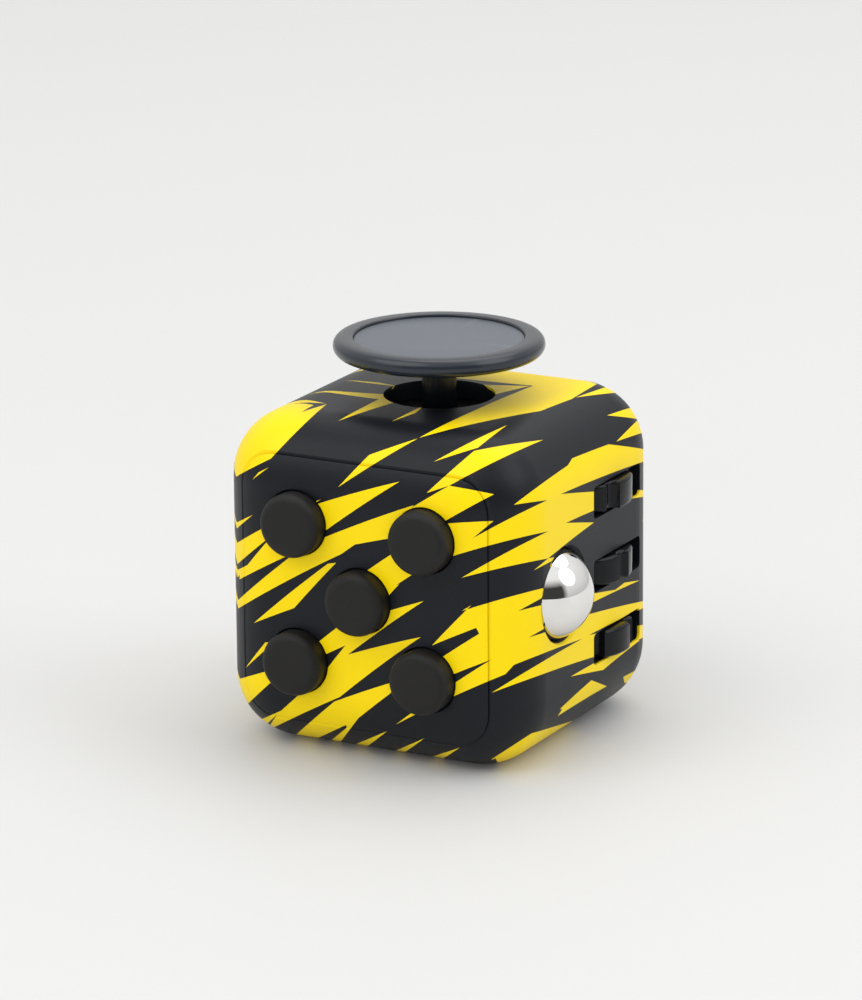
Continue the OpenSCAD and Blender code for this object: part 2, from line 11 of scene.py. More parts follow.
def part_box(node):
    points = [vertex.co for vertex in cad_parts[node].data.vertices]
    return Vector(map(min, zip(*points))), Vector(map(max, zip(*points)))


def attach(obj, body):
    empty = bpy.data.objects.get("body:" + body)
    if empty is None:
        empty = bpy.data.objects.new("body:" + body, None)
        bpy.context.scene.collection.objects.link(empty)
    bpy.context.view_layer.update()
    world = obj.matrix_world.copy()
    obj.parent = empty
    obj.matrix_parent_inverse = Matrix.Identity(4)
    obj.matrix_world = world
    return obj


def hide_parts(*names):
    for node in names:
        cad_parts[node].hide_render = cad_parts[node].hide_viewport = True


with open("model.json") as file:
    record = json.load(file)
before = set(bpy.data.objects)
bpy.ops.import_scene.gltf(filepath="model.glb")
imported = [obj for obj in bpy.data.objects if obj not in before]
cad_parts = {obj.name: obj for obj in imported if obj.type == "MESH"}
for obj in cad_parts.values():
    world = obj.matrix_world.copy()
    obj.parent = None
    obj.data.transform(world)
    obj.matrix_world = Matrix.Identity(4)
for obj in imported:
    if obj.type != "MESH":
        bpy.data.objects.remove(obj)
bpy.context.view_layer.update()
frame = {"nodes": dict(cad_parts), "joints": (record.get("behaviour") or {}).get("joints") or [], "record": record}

MM = 0.001
nodes = frame["nodes"]
joints = {joint["name"]: joint for joint in frame["joints"]}
node_body = {name: body for body, names in frame["record"]["behaviour"]["bodies"].items() for name in names}

# ---------------------------------------------------------------- sizes, in mm
# the shell and its front cover
shell_low, shell_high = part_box("body_shell")
SIDE = (shell_high[0] - shell_low[0]) / MM
HALF = SIDE / 2
EDGE_R = 6.7
WALL = 1.8
SEAM_ANGLE = math.radians(32)
SEAM_Y = -HALF + EDGE_R * (1 - math.cos(SEAM_ANGLE))
COVER_T = 1.9
SEAM_GAP = 0.15
OPEN_HALF = 11.8
OPEN_R = 2.2
PLUG_GAP = 0.1
# a rectangle wider than the cube, to cut it across
BIG_FACE = [(-40, -5), (40, -5), (40, 45), (-40, 45)]
# buttons
BUTTON_GAP = 0.1
BUTTON_EDGE = 0.85
FLANGE_LIP = 0.45
FLANGE_T = 0.7
NUB_R = 1.2
NUB_L = 0.7
# rocker and dial
ROCKER_R = 7.3
ROCKER_TIP = math.radians(51.2)
ROCKER_DIP = 3.5
ROCKER_SKIRT = 1.5
DIAL_POCKET = 0.8
DIAL_LIFT = 0.2
DIAL_NOTCHES = 18
# wheel slots, thumb dish and sliding knob
SLOT_LEN = 10.3
SLOT_GAP = 0.2
DISH_R = 7.2
DISH_DEPTH = 1.8
WELL_R = 5.45
DISC_T = 1.8
STEM_R = 1.7
SCREW_HOLE_R = 0.61
BUTTONS = ("button_top_left", "button_top_right", "button_centre", "button_bottom_left",
           "button_bottom_right")
# each wheel, with the way it happens to be turned, in degrees
WHEELS = {"wheel_top": 8, "wheel_middle": 26, "wheel_bottom": -12}
WHEEL_T = 2.8
LOBES = 6
HUB_R = 1.8
BORE_R = 0.85


def box_mm(node):
    low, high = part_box(node)
    return Vector(low) / MM, Vector(high) / MM


def centre_mm(node):
    low, high = box_mm(node)
    return (low + high) / 2


# ---------------------------------------------------------------- mesh helpers
def new_object(name, bm):
    """Turns a bmesh in millimetres into an object in metres."""
    bmesh.ops.recalc_face_normals(bm, faces=bm.faces)
    mesh = bpy.data.meshes.new(name)
    bm.to_mesh(mesh)
    bm.free()
    mesh.transform(Matrix.Scale(MM, 4))
    obj = bpy.data.objects.new(name, mesh)
    bpy.context.scene.collection.objects.link(obj)
    return obj


def apply_modifiers(obj):
    """Replaces the mesh by what the modifiers make of it."""
    graph = bpy.context.evaluated_depsgraph_get()
    mesh = bpy.data.meshes.new_from_object(obj.evaluated_get(graph))
    obj.modifiers.clear()
    old = obj.data
    obj.data = mesh
    bpy.data.meshes.remove(old)


def boolean(obj, cutter, operation="DIFFERENCE"):
    modifier = obj.modifiers.new("cut", "BOOLEAN")
    modifier.operation = operation
    modifier.solver = "EXACT"
    modifier.object = cutter
    apply_modifiers(obj)
    mesh = cutter.data
    bpy.data.objects.remove(cutter)
    bpy.data.meshes.remove(mesh)


def soften(obj, width, segments=3, angle=32):
    """Rounds the sharp edges by width in mm and keeps the flat faces flat in the shading."""
    bevel = obj.modifiers.new("soft_edges", "BEVEL")
    bevel.width = width * MM
    bevel.segments = segments
    bevel.limit_method = "ANGLE"
    bevel.angle_limit = math.radians(angle)
    bevel.miter_outer = "MITER_ARC"
    apply_modifiers(obj)
    obj.data.polygons.foreach_set("use_smooth", [True] * len(obj.data.polygons))
    weighted = obj.modifiers.new("flat_faces", "WEIGHTED_NORMAL")
    weighted.weight = 50
    weighted.keep_sharp = False
    apply_modifiers(obj)


def arc(x, y, radius, start, end, count=8):
    """Points round a circle, in degrees, for a lathe profile or an outline."""
    turn = [math.radians(start + (end - start) * i / count) for i in range(count + 1)]
    return [(x + radius * math.cos(a), y + radius * math.sin(a)) for a in turn]


def lathe(name, profile, origin, along="Z", sides=128):
    """Spins a profile of (radius, height) about an axis through origin."""
    quarter = math.radians(90)
    turn = {"Z": Matrix.Identity(4), "X": Matrix.Rotation(quarter, 4, "Y"),
            "Y": Matrix.Rotation(-quarter, 4, "X"), "-Y": Matrix.Rotation(quarter, 4, "X")}[along]
    place = Matrix.Translation(origin) @ turn
    bm = bmesh.new()
    rings = []
    for radius, height in profile:
        if radius < 1e-6:
            rings.append([bm.verts.new(place @ Vector((0, 0, height)))])
            continue
        ring = []
        for i in range(sides):
            a = 2 * math.pi * i / sides
            ring.append(bm.verts.new(place @ Vector((radius * math.cos(a), radius * math.sin(a), height))))
        rings.append(ring)
    for lower, upper in zip(rings, rings[1:]):
        for i in range(sides):
            j = (i + 1) % sides
            corners = [lower[i % len(lower)], lower[j % len(lower)]]
            corners += [upper[j % len(upper)], upper[i % len(upper)]]
            unique = list(dict.fromkeys(corners))
            if len(unique) > 2:
                bm.faces.new(unique)
    for ring in (rings[0], rings[-1]):
        if len(ring) > 2:
            bm.faces.new(ring)
    return new_object(name, bm)


def prism(name, outline, axis, low, high):
    """Extrudes a closed outline, drawn in the other two axes in order, between two places on an axis."""
    bm = bmesh.new()
    rings = []
    for place in (low, high):
        ring = []
        for a, b in outline:
            point = {"X": (place, a, b), "Y": (a, place, b), "Z": (a, b, place)}[axis]
            ring.append(bm.verts.new(point))
        rings.append(ring)
    count = len(outline)
    for i in range(count):
        j = (i + 1) % count
        bm.faces.new([rings[0][i], rings[0][j], rings[1][j], rings[1][i]])
    bm.faces.new(rings[0])
    bm.faces.new(rings[1])
    return new_object(name, bm)


def circle_outline(x, y, radius, sides=96):
    return arc(x, y, radius, 0, 360, sides)[:-1]


def rounded_outline(x, y, half_x, half_y, radius, count=6):
    points = []
    for corner_x, corner_y, start in ((1, 1, 0), (-1, 1, 90), (-1, -1, 180), (1, -1, 270)):
        points += arc(x + corner_x * (half_x - radius), y + corner_y * (half_y - radius), radius,
                      start, start + 90, count)
    return points


def rounded_cube(name, inset, radius, segments=14):
    """The cube's own form, inset by some mm, with round edges and corners."""
    bm = bmesh.new()
    bmesh.ops.create_cube(bm, size=SIDE - 2 * inset)
    bmesh.ops.translate(bm, verts=bm.verts, vec=(0, 0, HALF))
    bmesh.ops.bevel(bm, geom=bm.edges[:], offset=radius, segments=segments, profile=0.5, affect="EDGES")
    return new_object(name, bm)


def smooth_lathe(obj, angle=40):
    """Smooth shading, with edges sharper than the angle in degrees left crisp."""
    obj.data.polygons.foreach_set("use_smooth", [True] * len(obj.data.polygons))
    obj.data.set_sharp_from_angle(angle=math.radians(angle))


# ---------------------------------------------------------------- node material helpers
def material(name, colour, roughness, metallic=0.0):
    mat = bpy.data.materials.new(name)
    mat.use_nodes = True
    shader = mat.node_tree.nodes["Principled BSDF"]
    shader.inputs["Base Color"].default_value = (*colour, 1)
    shader.inputs["Roughness"].default_value = roughness
    shader.inputs["Metallic"].default_value = metallic
    return mat, mat.node_tree, shader


def link(tree, value, socket):
    """Links a socket, or sets a number or vector."""
    if isinstance(value, bpy.types.NodeSocket):
        tree.links.new(value, socket)
    else:
        socket.default_value = value


def math_node(tree, operation, a, b=0.0):
    node = tree.nodes.new("ShaderNodeMath")
    node.operation = operation
    link(tree, a, node.inputs[0])
    link(tree, b, node.inputs[1])
    return node.outputs[0]


def object_coords(tree):
    return tree.nodes.new("ShaderNodeTexCoord").outputs["Object"]


def noise(tree, coords, per_mm, detail=3.0, rough=0.55):
    node = tree.nodes.new("ShaderNodeTexNoise")
    link(tree, coords, node.inputs["Vector"])
    node.inputs["Scale"].default_value = per_mm / MM
    node.inputs["Detail"].default_value = detail
    node.inputs["Roughness"].default_value = rough
    return node.outputs["Fac"]


def ranged(tree, value, low, high, from_low=0.0, from_high=1.0):
    node = tree.nodes.new("ShaderNodeMapRange")
    link(tree, value, node.inputs["Value"])
    node.inputs["From Min"].default_value = from_low
    node.inputs["From Max"].default_value = from_high
    node.inputs["To Min"].default_value = low
    node.inputs["To Max"].default_value = high
    return node.outputs["Result"]


def mix_colour(tree, factor, a, b):
    node = tree.nodes.new("ShaderNodeMix")
    node.data_type = "RGBA"
    link(tree, factor, node.inputs["Factor"])
    link(tree, a if isinstance(a, bpy.types.NodeSocket) else (*a, 1), node.inputs["A"])
    link(tree, b if isinstance(b, bpy.types.NodeSocket) else (*b, 1), node.inputs["B"])
    return node.outputs["Result"]


def bump(tree, shader, height, depth_mm, strength=1.0):
    node = tree.nodes.new("ShaderNodeBump")
    node.inputs["Strength"].default_value = strength
    node.inputs["Distance"].default_value = depth_mm * MM
    link(tree, height, node.inputs["Height"])
    tree.links.new(node.outputs["Normal"], shader.inputs["Normal"])


def edge_wear(tree):
    """1 on the most worn convex edges, 0 elsewhere."""
    point = tree.nodes.new("ShaderNodeNewGeometry").outputs["Pointiness"]
    return ranged(tree, point, 0.0, 1.0, 0.53, 0.62)


# ---------------------------------------------------------------- materials
YELLOW = (0.92, 0.68, 0.0)
YELLOW_DEEP = (0.88, 0.64, 0.0)
CHARCOAL = (0.0050, 0.0062, 0.0090)
CHARCOAL_SOFT = (0.0085, 0.0100, 0.0135)
PAINT_DEPTH = 0.25
# height under which the knob gets painted shade
KNOB_SHADE_Z = 37.2
# the paint's shards, in mm: the point they curve about, their teeth as (width, length, lean, seed)
# and the bands that the teeth are cut from
BAND_CENTRE = (60, -90)
BAND_RIGHT = (0.885, 0.466, 0.0)
BAND_UP = (-0.133, 0.253, 0.958)
BAND_TEETH = ((2.7, 10, 0.02, 0.0), (6.1, 16, -0.015, 31.7))
BAND_SWELL = 11
BAND_PITCH = 9.5
BAND_SLANT = math.radians(25)
BAND_SHARE = 0.42
BAND_SEED = 11.0


def dot(tree, coords, vector):
    node = tree.nodes.new("ShaderNodeVectorMath")
    node.operation = "DOT_PRODUCT"
    link(tree, coords, node.inputs[0])
    node.inputs[1].default_value = vector
    return node.outputs["Value"]


def hashed(tree, number, seed):
    """A random value from 0 to 1 for each whole number."""
    node = tree.nodes.new("ShaderNodeTexWhiteNoise")
    node.noise_dimensions = "1D"
    link(tree, math_node(tree, "ADD", number, seed), node.inputs["W"])
    return node.outputs["Value"]


def scaled(tree, value, factor, offset=0.0):
    return math_node(tree, "ADD", math_node(tree, "MULTIPLY", value, factor), offset)


def teeth(tree, along, across, width, length, lean, seed):
    """How far the paint is drawn out along its run, in mm: straight teeth side by side, of many lengths."""
    phase = math_node(tree, "ADD", scaled(tree, across, 1 / width), scaled(tree, along, lean))
    tooth = math_node(tree, "FLOOR", phase)
    reach = scaled(tree, hashed(tree, tooth, seed), 0.9 * length, 0.45 * length)
    ramp = math_node(tree, "MULTIPLY", scaled(tree, math_node(tree, "FRACT", phase), 1.0, -0.5), reach)
    start = scaled(tree, hashed(tree, tooth, seed + 50.3), 0.6 * length, -0.3 * length)
    return math_node(tree, "ADD", ramp, start)


def jagged_bands(tree, coords):
    """1 on the yellow shards, 0 on the charcoal. They run round the front right edge; left and back
    mirror them, so they meet at every edge."""
    place = tree.nodes.new("ShaderNodeSeparateXYZ")
    tree.links.new(coords, place.inputs[0])
    folded = tree.nodes.new("ShaderNodeCombineXYZ")
    tree.links.new(math_node(tree, "MAXIMUM", place.outputs["X"], place.outputs["Y"]), folded.inputs["X"])
    tree.links.new(math_node(tree, "MINIMUM", place.outputs["X"], place.outputs["Y"]), folded.inputs["Y"])
    tree.links.new(place.outputs["Z"], folded.inputs["Z"])
    folded = folded.outputs["Vector"]
    right_axis, up_axis = (tuple(c / MM for c in axis) for axis in (BAND_RIGHT, BAND_UP))
    right = scaled(tree, dot(tree, folded, right_axis), 1.0, -BAND_CENTRE[0])
    up = scaled(tree, dot(tree, folded, up_axis), 1.0, -BAND_UP[2] * HALF - BAND_CENTRE[1])
    bend = math.hypot(*BAND_CENTRE)
    start = math.atan2(BAND_CENTRE[0], -BAND_CENTRE[1])
    turn = math_node(tree, "ARCTAN2", scaled(tree, right, -1.0), up)
    along = scaled(tree, turn, -bend, start * bend)
    squares = math_node(tree, "ADD", math_node(tree, "MULTIPLY", right, right),
                        math_node(tree, "MULTIPLY", up, up))
    across = scaled(tree, math_node(tree, "SQRT", squares), 1.0, -bend)
    for width, length, lean, seed in BAND_TEETH:
        drawn = teeth(tree, along, across, width, length, lean, BAND_SEED + seed)
        along = math_node(tree, "ADD", along, drawn)
    slant = math_node(tree, "SUBTRACT", scaled(tree, across, math.cos(BAND_SLANT) / BAND_PITCH),
                      scaled(tree, along, math.sin(BAND_SLANT) / BAND_PITCH))
    band = math_node(tree, "FLOOR", slant)
    share = scaled(tree, hashed(tree, band, BAND_SEED + 7.7), 0.25, BAND_SHARE - 0.125)
    swell = math_node(tree, "PINGPONG", scaled(tree, along, 1 / BAND_SWELL), 1.0)
    share = math_node(tree, "ADD", share, scaled(tree, swell, 0.3, -0.15))
    return math_node(tree, "LESS_THAN", math_node(tree, "FRACT", slant), share)


def vector_node(tree, operation, a, b=(0, 0, 0)):
    node = tree.nodes.new("ShaderNodeVectorMath")
    node.operation = operation
    link(tree, a, node.inputs[0])
    link(tree, b, node.inputs[1])
    return node


def on_outside(tree, coords):
    """1 on the outer skin of the round-edged cube, 0 on walls and floors that lie deeper."""
    middle = vector_node(tree, "SUBTRACT", coords, (0, 0, HALF * MM)).outputs["Vector"]
    size = vector_node(tree, "ABSOLUTE", middle).outputs["Vector"]
    core = (HALF - EDGE_R) * MM
    past = vector_node(tree, "SUBTRACT", size, (core, core, core)).outputs["Vector"]
    past = vector_node(tree, "MAXIMUM", past).outputs["Vector"]
    far = vector_node(tree, "LENGTH", past).outputs["Value"]
    return math_node(tree, "GREATER_THAN", far, (EDGE_R - PAINT_DEPTH) * MM)


def shell_plastic():
    """Satin moulding, printed with the jagged bands on its outer skin only."""
    mat, tree, shader = material("shell_plastic", YELLOW, 0.36)
    coords = object_coords(tree)
    bands = math_node(tree, "MULTIPLY", jagged_bands(tree, coords), on_outside(tree, coords))
    cloud = noise(tree, coords, 0.11, 4)
    yellow = mix_colour(tree, ranged(tree, cloud, 0.0, 0.5), YELLOW, YELLOW_DEEP)
    charcoal = mix_colour(tree, cloud, CHARCOAL, CHARCOAL_SOFT)
    tree.links.new(mix_colour(tree, bands, charcoal, yellow), shader.inputs["Base Color"])
    grain = noise(tree, coords, 6.0, 2)
    rough = math_node(tree, "ADD", ranged(tree, cloud, 0.33, 0.45), ranged(tree, grain, -0.03, 0.03))
    tree.links.new(rough, shader.inputs["Roughness"])
    shader.inputs["Specular IOR Level"].default_value = 0.2
    height = math_node(tree, "ADD", grain, math_node(tree, "MULTIPLY", bands, 0.8))
    bump(tree, shader, height, 0.012, 0.6)
    return mat


def grained(name, colour, worn, roughness, grain_mm, depth_mm, spread=0.08, coat=0.0, shine=0.5):
    """A moulded or rubber surface: cloudy roughness, a fine grain and lighter worn edges."""
    mat, tree, shader = material(name, colour, roughness)
    coords = object_coords(tree)
    cloud = noise(tree, coords, 0.2, 4)
    grain = noise(tree, coords, 1 / grain_mm, 3)
    base = mix_colour(tree, ranged(tree, cloud, 0.0, 0.35), colour, worn)
    tree.links.new(mix_colour(tree, edge_wear(tree), base, worn), shader.inputs["Base Color"])
    rough = math_node(tree, "ADD", ranged(tree, cloud, roughness - spread, roughness + spread),
                      ranged(tree, grain, -spread / 2, spread / 2))
    tree.links.new(rough, shader.inputs["Roughness"])
    shader.inputs["Specular IOR Level"].default_value = shine
    shader.inputs["Coat Weight"].default_value = coat
    shader.inputs["Coat Roughness"].default_value = 0.12
    bump(tree, shader, grain, depth_mm, 0.5)
    return mat


def painted_shade_below(mat, height_mm, share):
    """Paints shade into a material under a height: darkens the stem as if it lay in shadow under its disc."""
    tree = mat.node_tree
    shader = tree.nodes["Principled BSDF"]
    painted = shader.inputs["Base Color"].links[0].from_socket
    split = tree.nodes.new("ShaderNodeSeparateXYZ")
    tree.links.new(object_coords(tree), split.inputs[0])
    # mask of the painted shade: 1 below the height, 0 above
    low = ranged(tree, split.outputs["Z"], 1.0, 0.0, (height_mm - 0.25) * MM, (height_mm + 0.25) * MM)
    dark = vector_node(tree, "SCALE", painted)
    dark.inputs["Scale"].default_value = share
    tree.links.new(mix_colour(tree, low, painted, dark.outputs["Vector"]), shader.inputs["Base Color"])


def metal(name, colour, roughness, scratch_mm, depth_mm, spread=0.05):
    """Metal with fine scratches that lie level."""
    mat, tree, shader = material(name, colour, roughness, 1.0)
    coords = object_coords(tree)
    mapping = tree.nodes.new("ShaderNodeMapping")
    mapping.inputs["Scale"].default_value = (1.0, 1.0, 9.0)
    tree.links.new(coords, mapping.inputs["Vector"])
    scratch = noise(tree, mapping.outputs["Vector"], 1 / scratch_mm, 5, 0.7)
    rough = ranged(tree, scratch, max(roughness - spread, 0.01), roughness + spread)
    tree.links.new(rough, shader.inputs["Roughness"])
    dull = tuple(0.8 * c for c in colour)
    tint = mix_colour(tree, ranged(tree, scratch, 0.0, 0.5), colour, dull)
    tree.links.new(tint, shader.inputs["Base Color"])
    bump(tree, shader, scratch, depth_mm, 0.3)
    return mat


MATERIALS = {
    "shell_plastic": shell_plastic(),
    "button_rubber": grained("button_rubber", (0.0062, 0.0058, 0.0056), (0.011, 0.0105, 0.010), 0.62, 0.14,
                             0.02, shine=0.35),
    "knob_plastic": grained("knob_plastic", (0.014, 0.019, 0.026), (0.021, 0.027, 0.036), 0.25, 0.2,
                            0.001, 0.03, coat=0.08, shine=0.4),
    "knob_pad": grained("knob_pad", (0.085, 0.097, 0.118), (0.11, 0.125, 0.145), 0.4, 0.12, 0.008, 0.06),
    "gloss_black": grained("gloss_black", (0.0022, 0.0026, 0.0036), (0.016, 0.017, 0.020), 0.14, 0.3,
                           0.003, 0.04, coat=0.08, shine=0.16),
    "control_plastic": grained("control_plastic", (0.010, 0.012, 0.015), (0.02, 0.022, 0.026), 0.4, 0.18,
                               0.01, shine=0.35),
    "inner_plastic": grained("inner_plastic", (0.03, 0.03, 0.033), (0.05, 0.05, 0.054), 0.5, 0.25, 0.01),
    "silicone": grained("silicone", (0.62, 0.60, 0.55), (0.7, 0.68, 0.62), 0.5, 0.3, 0.01),
    "chrome_steel": metal("chrome_steel", (0.86, 0.85, 0.83), 0.035, 0.9, 0.0012, 0.02),
    "spring_steel": metal("spring_steel", (0.62, 0.62, 0.60), 0.25, 0.5, 0.003),
    "steel": metal("steel", (0.55, 0.55, 0.56), 0.3, 0.4, 0.004),
}
# painted shade: the knob's stem is darkened as though the disc shadowed it
painted_shade_below(MATERIALS["knob_plastic"], KNOB_SHADE_Z, 0.25)
slots = {part["node"]: part["material_slot"] for part in frame["record"]["subparts"]}
for node_name, obj in nodes.items():
    obj.data.materials.clear()
    obj.data.materials.append(MATERIALS[slots[node_name]])


def stand_for(obj, node):
    """The piece takes the node's place, its body and its material slot."""
    obj.data.materials.clear()
    obj.data.materials.append(MATERIALS[slots[node]])
    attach(obj, node_body[node])
    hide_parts(node)


# ---------------------------------------------------------------- shell and cover
ball = Vector(joints["ball_roll"]["pos_m"]) / MM
ball_r = (box_mm("roll_ball")[1] - box_mm("roll_ball")[0])[2] / 2
wheel_r = (box_mm("wheel_middle")[1] - box_mm("wheel_middle")[0])[0] / 2
wheel_axis = Vector(joints["wheel_middle_spin"]["pos_m"]) / MM
dial_r = (box_mm("spin_dial")[1] - box_mm("spin_dial")[0])[0] / 2


def wheel_z(node):
    return joints[node + "_spin"]["pos_m"][2] / MM


def ball_seat():
    """Profile of the hole that the ball stands in: a round seat with a flared mouth."""
    seat = ball_r + 0.07
    depth = HALF - ball.x
    flare = depth - 0.6
    wide = ball_r + 0.2
    turns = [math.radians(5 * i) for i in range(1, 19)]
    profile = [(0, -seat)] + [(seat * math.sin(a), -seat * math.cos(a)) for a in turns]
    profile += [(math.sqrt(seat * seat - h * h), h) for h in (0.3, 0.7, 1.1, flare)]
    return profile + [(wide, depth), (wide, depth + 2), (0, depth + 2)]


def build_shell():
    """The rest of the rounded cube, hollow, with the openings that the controls stand in."""
    shell = rounded_cube("shell_moulding", 0, EDGE_R)
    boolean(shell, rounded_cube("cavity", WALL, EDGE_R - WALL))
    # a thicker floor under the dish
    boolean(shell, prism("dish_floor", circle_outline(0, 0, DISH_R + 1.2), "Z", 1.0, DISH_DEPTH + WALL),
            "UNION")
    boolean(shell, prism("front", BIG_FACE, "Y", -40, SEAM_Y + SEAM_GAP / 2))
    mouth = rounded_outline(0, HALF, OPEN_HALF, OPEN_HALF, OPEN_R)
    boolean(shell, prism("mouth", mouth, "Y", -HALF, -HALF / 2))
    boolean(shell, prism("well", circle_outline(0, 0, WELL_R, 128), "Z", SIDE - WALL - 1, SIDE + 2))
    boolean(shell, lathe("ball_seat", ball_seat(), ball, "X", 96))
    for node in WHEELS:
        outline = rounded_outline(wheel_axis.y, wheel_z(node), SLOT_LEN / 2, WHEEL_T / 2 + SLOT_GAP, 0.5)
        boolean(shell, prism("slot", outline, "X", HALF - WALL - 1, HALF + 2))
    rocker = centre_mm("flip_rocker")
    half_w = (box_mm("flip_rocker")[1] - box_mm("flip_rocker")[0])[1] / 2
    rocker_z = joints["rocker_flip"]["pos_m"][2] / MM
    outline = rounded_outline(rocker.y, rocker_z, half_w + 0.2, ROCKER_R + 0.15, 0.35)
    boolean(shell, prism("rocker_mouth", outline, "X", -HALF - 1, -HALF + WALL + 1))
    pocket = circle_outline(0, HALF, dial_r + 0.2, 128)
    boolean(shell, prism("dial_pocket", pocket, "Y", HALF - DIAL_POCKET, HALF + 2))
    big = (DISH_R ** 2 + DISH_DEPTH ** 2) / (2 * DISH_DEPTH)
    steps = [i / 24 * DISH_R * 1.04 for i in range(25)]
    dish = [(r, DISH_DEPTH - big + math.sqrt(big * big - r * r)) for r in steps] + [(steps[-1], -2), (0, -2)]
    boolean(shell, lathe("dish", dish, (0, 0, 0), "Z", 128))
    soften(shell, 0.12)
    stand_for(shell, "body_shell")


def build_cover():
    """The front of the rounded cube with its plug, and a bore for each button."""
    cover = rounded_cube("cover_moulding", 0, EDGE_R)
    boolean(cover, prism("behind", BIG_FACE, "Y", SEAM_Y - SEAM_GAP / 2, 40))
    plug_half = OPEN_HALF - PLUG_GAP
    plug = rounded_outline(0, HALF, plug_half, plug_half, OPEN_R - PLUG_GAP)
    boolean(cover, prism("plug", plug, "Y", SEAM_Y - 0.3, -HALF + COVER_T), "UNION")
    for node in BUTTONS:
        place = centre_mm(node)
        radius = button_radius(node) + BUTTON_GAP
        boolean(cover, prism("bore", circle_outline(place.x, place.z, radius), "Y", -HALF - 1, 0))
    soften(cover, 0.1)
    stand_for(cover, "front_cover")


def button_radius(node):
    """The cap is narrower than the flange, which sets the node's box."""
    low, high = box_mm(node)
    return (high.x - low.x) / 2 - FLANGE_LIP


def build_button(node):
    """A turned cap with a flange behind the cover and a nub that rests on the dome."""
    low, high = box_mm(node)
    place = centre_mm(node)
    radius = button_radius(node)
    top = high.y - low.y - FLANGE_T - NUB_L
    base = -HALF + COVER_T + 0.02
    edge = BUTTON_EDGE
    back = -FLANGE_T - NUB_L
    wide = radius + FLANGE_LIP
    profile = [(0, back), (NUB_R, back), (NUB_R, -FLANGE_T), (wide, -FLANGE_T), (wide, 0)]
    profile += [(radius - 0.02, 0), (radius - 0.02, top - edge - 0.5), (radius, top - edge - 0.2)]
    profile += arc(radius - edge, top - edge - 0.03, edge, 0, 90, 10)
    # a slightly crowned cap
    profile += [(radius * f, top - 0.03 * f * f) for f in (0.62, 0.4, 0.2)] + [(0, top)]
    cap = lathe(node + "_cap", profile, (place.x, base, place.z), "-Y", 96)
    smooth_lathe(cap)
    stand_for(cap, node)


# ---------------------------------------------------------------- sliding knob
def build_knob():
    """The disc on its stem, and the inlay in its recess."""
    low, high = box_mm("glide_knob")
    radius = (high.x - low.x) / 2
    top = high.z
    pad_low, pad_high = box_mm("glide_pad")
    pad_r = (pad_high.x - pad_low.x) / 2
    rim = DISC_T / 2
    under = top - DISC_T
    # the stem with its screw hole, the collar, and the disc's nearly flat underside
    profile = [(SCREW_HOLE_R, low.z), (STEM_R, low.z), (STEM_R, under - 1.0), (2.0, under - 0.8)]
    profile += [(2.0, under - 0.35), (2.06, under - 0.15), (2.35, under)]
    profile += [(4.0, under + 0.04), (radius - 1.6, under + 0.02)]
    profile += arc(radius - rim, under + rim, rim, -90, 62, 22)
    profile += [(radius - rim - 0.12, top - 0.004), (pad_r + 0.42, top - 0.012)]
    profile += arc(pad_r + 0.2, top - 0.21, 0.19, 80, 180, 6)
    profile += [(pad_r + 0.005, pad_low.z), (SCREW_HOLE_R, pad_low.z)]
    knob = lathe("knob_disc", profile, (0, 0, 0), "Z", 192)
    smooth_lathe(knob, 50)
    stand_for(knob, "glide_knob")
    tall = pad_high.z - pad_low.z
    profile = [(0, 0), (pad_r, 0), (pad_r, tall - 0.1)] + arc(pad_r - 0.1, tall - 0.1, 0.1, 0, 90, 4)
    profile += [(pad_r * 0.5, tall), (0, tall)]
    pad = lathe("knob_inlay", profile, (0, 0, pad_low.z), "Z", 192)
    smooth_lathe(pad, 50)
    stand_for(pad, "glide_pad")


# ---------------------------------------------------------------- ball and wheels
def build_ball():
    bm = bmesh.new()
    bmesh.ops.create_icosphere(bm, subdivisions=6, radius=ball_r)
    bmesh.ops.translate(bm, verts=bm.verts, vec=ball)
    steel = new_object("steel_ball", bm)
    steel.data.polygons.foreach_set("use_smooth", [True] * len(steel.data.polygons))
    stand_for(steel, "roll_ball")


def lobed_radius(angle, inset):
    """Distance from the axle to the rim: a circle with a round notch between lobes."""
    step = 2 * math.pi / LOBES
    off = (angle - step / 2) % step
    off = min(off, step - off)
    centre = wheel_r + 0.15
    notch = 0.85 + inset
    inside = notch ** 2 - (centre * math.sin(off)) ** 2
    rim = wheel_r - inset
    if inside <= 0:
        return rim
    cut = centre * math.cos(off) - math.sqrt(inside)
    # the corner of a lobe is slightly rounded
    return min(rim, cut) - 0.12 * math.exp(-((rim - cut) / 0.25) ** 2)


def build_wheel(node, turn):
    """A lobed wheel with rounded rims, a hub and a bore; turn is where its first lobe points, in degrees."""
    low, high = box_mm(node)
    z = wheel_z(node)
    edge = 0.36
    sides = 360
    levels = [(-WHEEL_T / 2 + edge * (1 - math.sin(a)), edge * (1 - math.cos(a)))
              for a in (math.radians(90 - 22.5 * i) for i in range(5))]
    levels += [(-h, inset) for h, inset in reversed(levels)]
    bm = bmesh.new()
    rings = []
    for height, inset in levels:
        ring = []
        for i in range(sides):
            angle = 2 * math.pi * i / sides
            radius = lobed_radius(angle, inset)
            facing = angle + math.radians(turn)
            ring.append(bm.verts.new((wheel_axis.x + radius * math.cos(facing),
                                      wheel_axis.y + radius * math.sin(facing), z + height)))
        rings.append(ring)
    for lower, upper in zip(rings, rings[1:]):
        for i in range(sides):
            j = (i + 1) % sides
            bm.faces.new([lower[i], lower[j], upper[j], upper[i]])
    bm.faces.new(rings[0])
    bm.faces.new(rings[-1])
    wheel = new_object(node + "_lobes", bm)
    hub = circle_outline(wheel_axis.x, wheel_axis.y, HUB_R, 64)
    boolean(wheel, prism("hub", hub, "Z", low.z, high.z), "UNION")
    bore = circle_outline(wheel_axis.x, wheel_axis.y, BORE_R, 64)
    boolean(wheel, prism("bore", bore, "Z", low.z - 1, high.z + 1))
    smooth_lathe(wheel, 30)
    stand_for(wheel, node)


